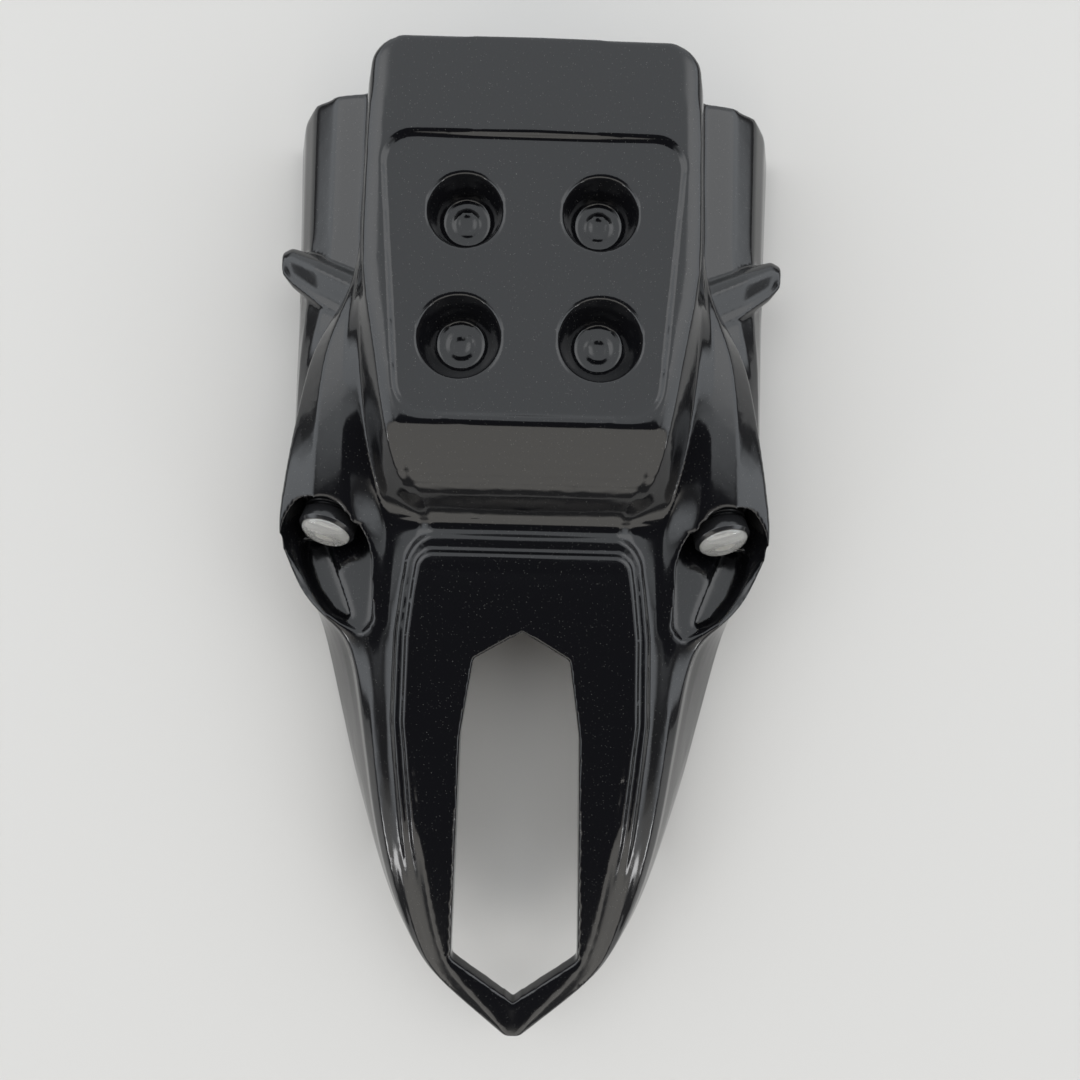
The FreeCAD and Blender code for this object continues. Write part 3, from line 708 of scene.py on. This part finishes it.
def makeLamp(side, label):
    radius, dome = lampSizes["lensRadius"], lampSizes["lensDome"]
    low, edge = lampSizes["lensLow"], lampSizes["lensEdge"]
    lowCorner, edgeCorner = lampSizes["lensCorners"]
    lensLine = [(0, low), (radius, low, lowCorner), (radius, edge, edgeCorner)]
    for angle in lampSizes["lensAngles"]:
        turn = math.radians(angle)
        lensLine.append((radius * math.cos(turn), edge + dome * math.sin(turn), 0))
    lensLine.append((0, edge + dome))
    black = finishes["lampBlack"]
    body = spunPiece("lampBody" + label, lampSizes["body"], lampSizes["edge"], black)
    addThread(body)
    lens = spunPiece("lampLens" + label, lensLine, lampSizes["edge"], lensClear)
    node = "_" + label.lower()
    for obj, slot, nodeName in ((body, "lamp_black", "lamp_body"), (lens, "lens_clear", "lens")):
        obj.data.transform(seatPlace(side))
        obj.data.shade_smooth()
        obj.data.set_sharp_from_angle(angle=math.radians(lampSizes["sharpAngle"]))
        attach(obj, "root")
        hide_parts(nodeName + node)
    for nodeName, finish, slot in (
            ("led_board", "boardWhite", "board_white"), ("led_chip", "chipYellow", "chip_yellow"),
            ("gasket", "gasketRubber", "gasket_rubber"),
            ("lamp_washer", "fixingSteel", "fixing_steel"), ("lamp_nut", "fixingSteel", "fixing_steel")):
        piece = frame["nodes"][nodeName + node]
        piece.data.materials.clear()
        piece.data.materials.append(finishes[finish])
    print("lamp made:", label)


makeLamp(-1, "Left")
makeLamp(1, "Right")

# studio: a pale floor under a soft sky with bright patches that fade out,
# and one dark card over the panel
studioSizes = {
    "floorRadius": 8.0,
    "floorSegments": 96,
    "spotPlace": (1.7, -1.4, 0.8),  # right spot, aimed at the middle of the part
    "spotSize": 0.28,
    "spotRadiance": 9.0,
    "sky": (0.17, 0.17, 0.17, 1.0),
    # colour, direction, stretch of the sky, cosines between which the patch fades in
    "patches": [
        ((1.32, 1.38, 1.43, 1.0), (0.0, 0.60, 0.80), (1.0, 1.0, 1.0), (0.45, 0.70)),
        ((2.1, 2.2, 2.3, 1.0), (-0.87, 0.10, 0.49), (1.0, 0.4, 1.0), (0.92, 0.985)),
        ((2.1, 2.2, 2.3, 1.0), (0.87, 0.10, 0.49), (1.0, 0.4, 1.0), (0.92, 0.985)),
        ((2.6, 2.65, 2.7, 1.0), (-0.55, 0.40, 0.73), (1.0, 1.0, 1.0), (0.93, 0.985)),
        ((2.6, 2.65, 2.7, 1.0), (0.55, 0.40, 0.73), (1.0, 1.0, 1.0), (0.93, 0.985)),
        ((1.75, 1.7, 1.6, 1.0), (0.0, -0.80, 0.60), (0.5, 1.0, 1.0), (0.87, 0.95)),
        ((0.02, 0.02, 0.026, 1.0), (0.0, -0.334, 0.943), (1.0, 1.0, 1.0), (0.875, 0.899)),
    ],
}


def makeFloor():
    mesh = bpy.data.meshes.new("studioFloor")
    work = bmesh.new()
    bmesh.ops.create_circle(work, cap_ends=True, radius=studioSizes["floorRadius"],
                            segments=studioSizes["floorSegments"])
    work.to_mesh(mesh)
    work.free()
    floor = newObject("studioFloor", mesh)
    mesh.materials.append(finishes["floorPale"])


def makeSky():
    world = bpy.data.worlds.new("studioSky")
    scene.world = world
    world.use_nodes = True
    nodes, links = world.node_tree.nodes, world.node_tree.links
    toward = nodes.new("ShaderNodeTexCoord")
    colour = None

    def vector(kind, first, second=None):
        node = nodes.new("ShaderNodeVectorMath")
        node.operation = kind
        links.new(first, node.inputs[0])
        if second is not None:
            node.inputs[1].default_value = second
        return node.outputs["Value" if kind == "DOT_PRODUCT" else "Vector"]

    for tint, aim, stretch, edge in studioSizes["patches"]:
        middle = Vector([a * s for a, s in zip(aim, stretch)]).normalized()
        squeezed = vector("NORMALIZE", vector("MULTIPLY", toward.outputs["Generated"], stretch))
        fade = nodes.new("ShaderNodeMapRange")
        fade.interpolation_type = "SMOOTHSTEP"
        fade.inputs["From Min"].default_value, fade.inputs["From Max"].default_value = edge
        links.new(vector("DOT_PRODUCT", squeezed, middle), fade.inputs["Value"])
        mix = nodes.new("ShaderNodeMix")
        mix.data_type = "RGBA"
        links.new(fade.outputs["Result"], mix.inputs["Factor"])
        if colour is None:
            mix.inputs["A"].default_value = studioSizes["sky"]
        else:
            links.new(colour, mix.inputs["A"])
        mix.inputs["B"].default_value = tint
        colour = mix.outputs["Result"]
    links.new(colour, nodes["Background"].inputs["Color"])


def makeSpot(side, label):
    size = studioSizes["spotSize"]
    light = bpy.data.lights.new("frontSpot" + label, "AREA")
    light.shape = "RECTANGLE"
    light.size, light.size_y = size, size
    light.energy = studioSizes["spotRadiance"] * math.pi * size * size
    obj = bpy.data.objects.new("frontSpot" + label, light)
    scene.collection.objects.link(obj)
    sx, sy, sz = studioSizes["spotPlace"]
    place = Vector((side * sx, sy, sz))
    obj.matrix_world = Matrix.Translation(place) @ (-place).to_track_quat("-Z", "Y").to_matrix().to_4x4()


makeFloor()
makeSky()
makeSpot(-1, "Left")
makeSpot(1, "Right")

# camera at the photograph's viewing angle
cameraSizes = {
    "place": (0.00198, 0.01025, 0.371),
    "roll": -1.502,
    "tilt": 0.487,
    "lens": 26.9,
    "sensor": 36.0,
    "shift": (0.0032, -0.0023),
    "nearest": 0.02,
}
cameraData = bpy.data.cameras.new("photoCamera")
cameraData.sensor_width = cameraSizes["sensor"]
cameraData.lens = cameraSizes["lens"]
cameraData.shift_x, cameraData.shift_y = cameraSizes["shift"]
cameraData.clip_start = cameraSizes["nearest"]
camera = bpy.data.objects.new("photoCamera", cameraData)
scene.collection.objects.link(camera)
roll = Matrix.Rotation(math.radians(cameraSizes["roll"]), 4, "Z")
tilt = Matrix.Rotation(math.radians(cameraSizes["tilt"]), 4, "Y")
camera.matrix_world = Matrix.Translation(cameraSizes["place"]) @ (roll @ tilt).transposed()
scene.camera = camera
scene.view_settings.view_transform = "Standard"
print("studio made")
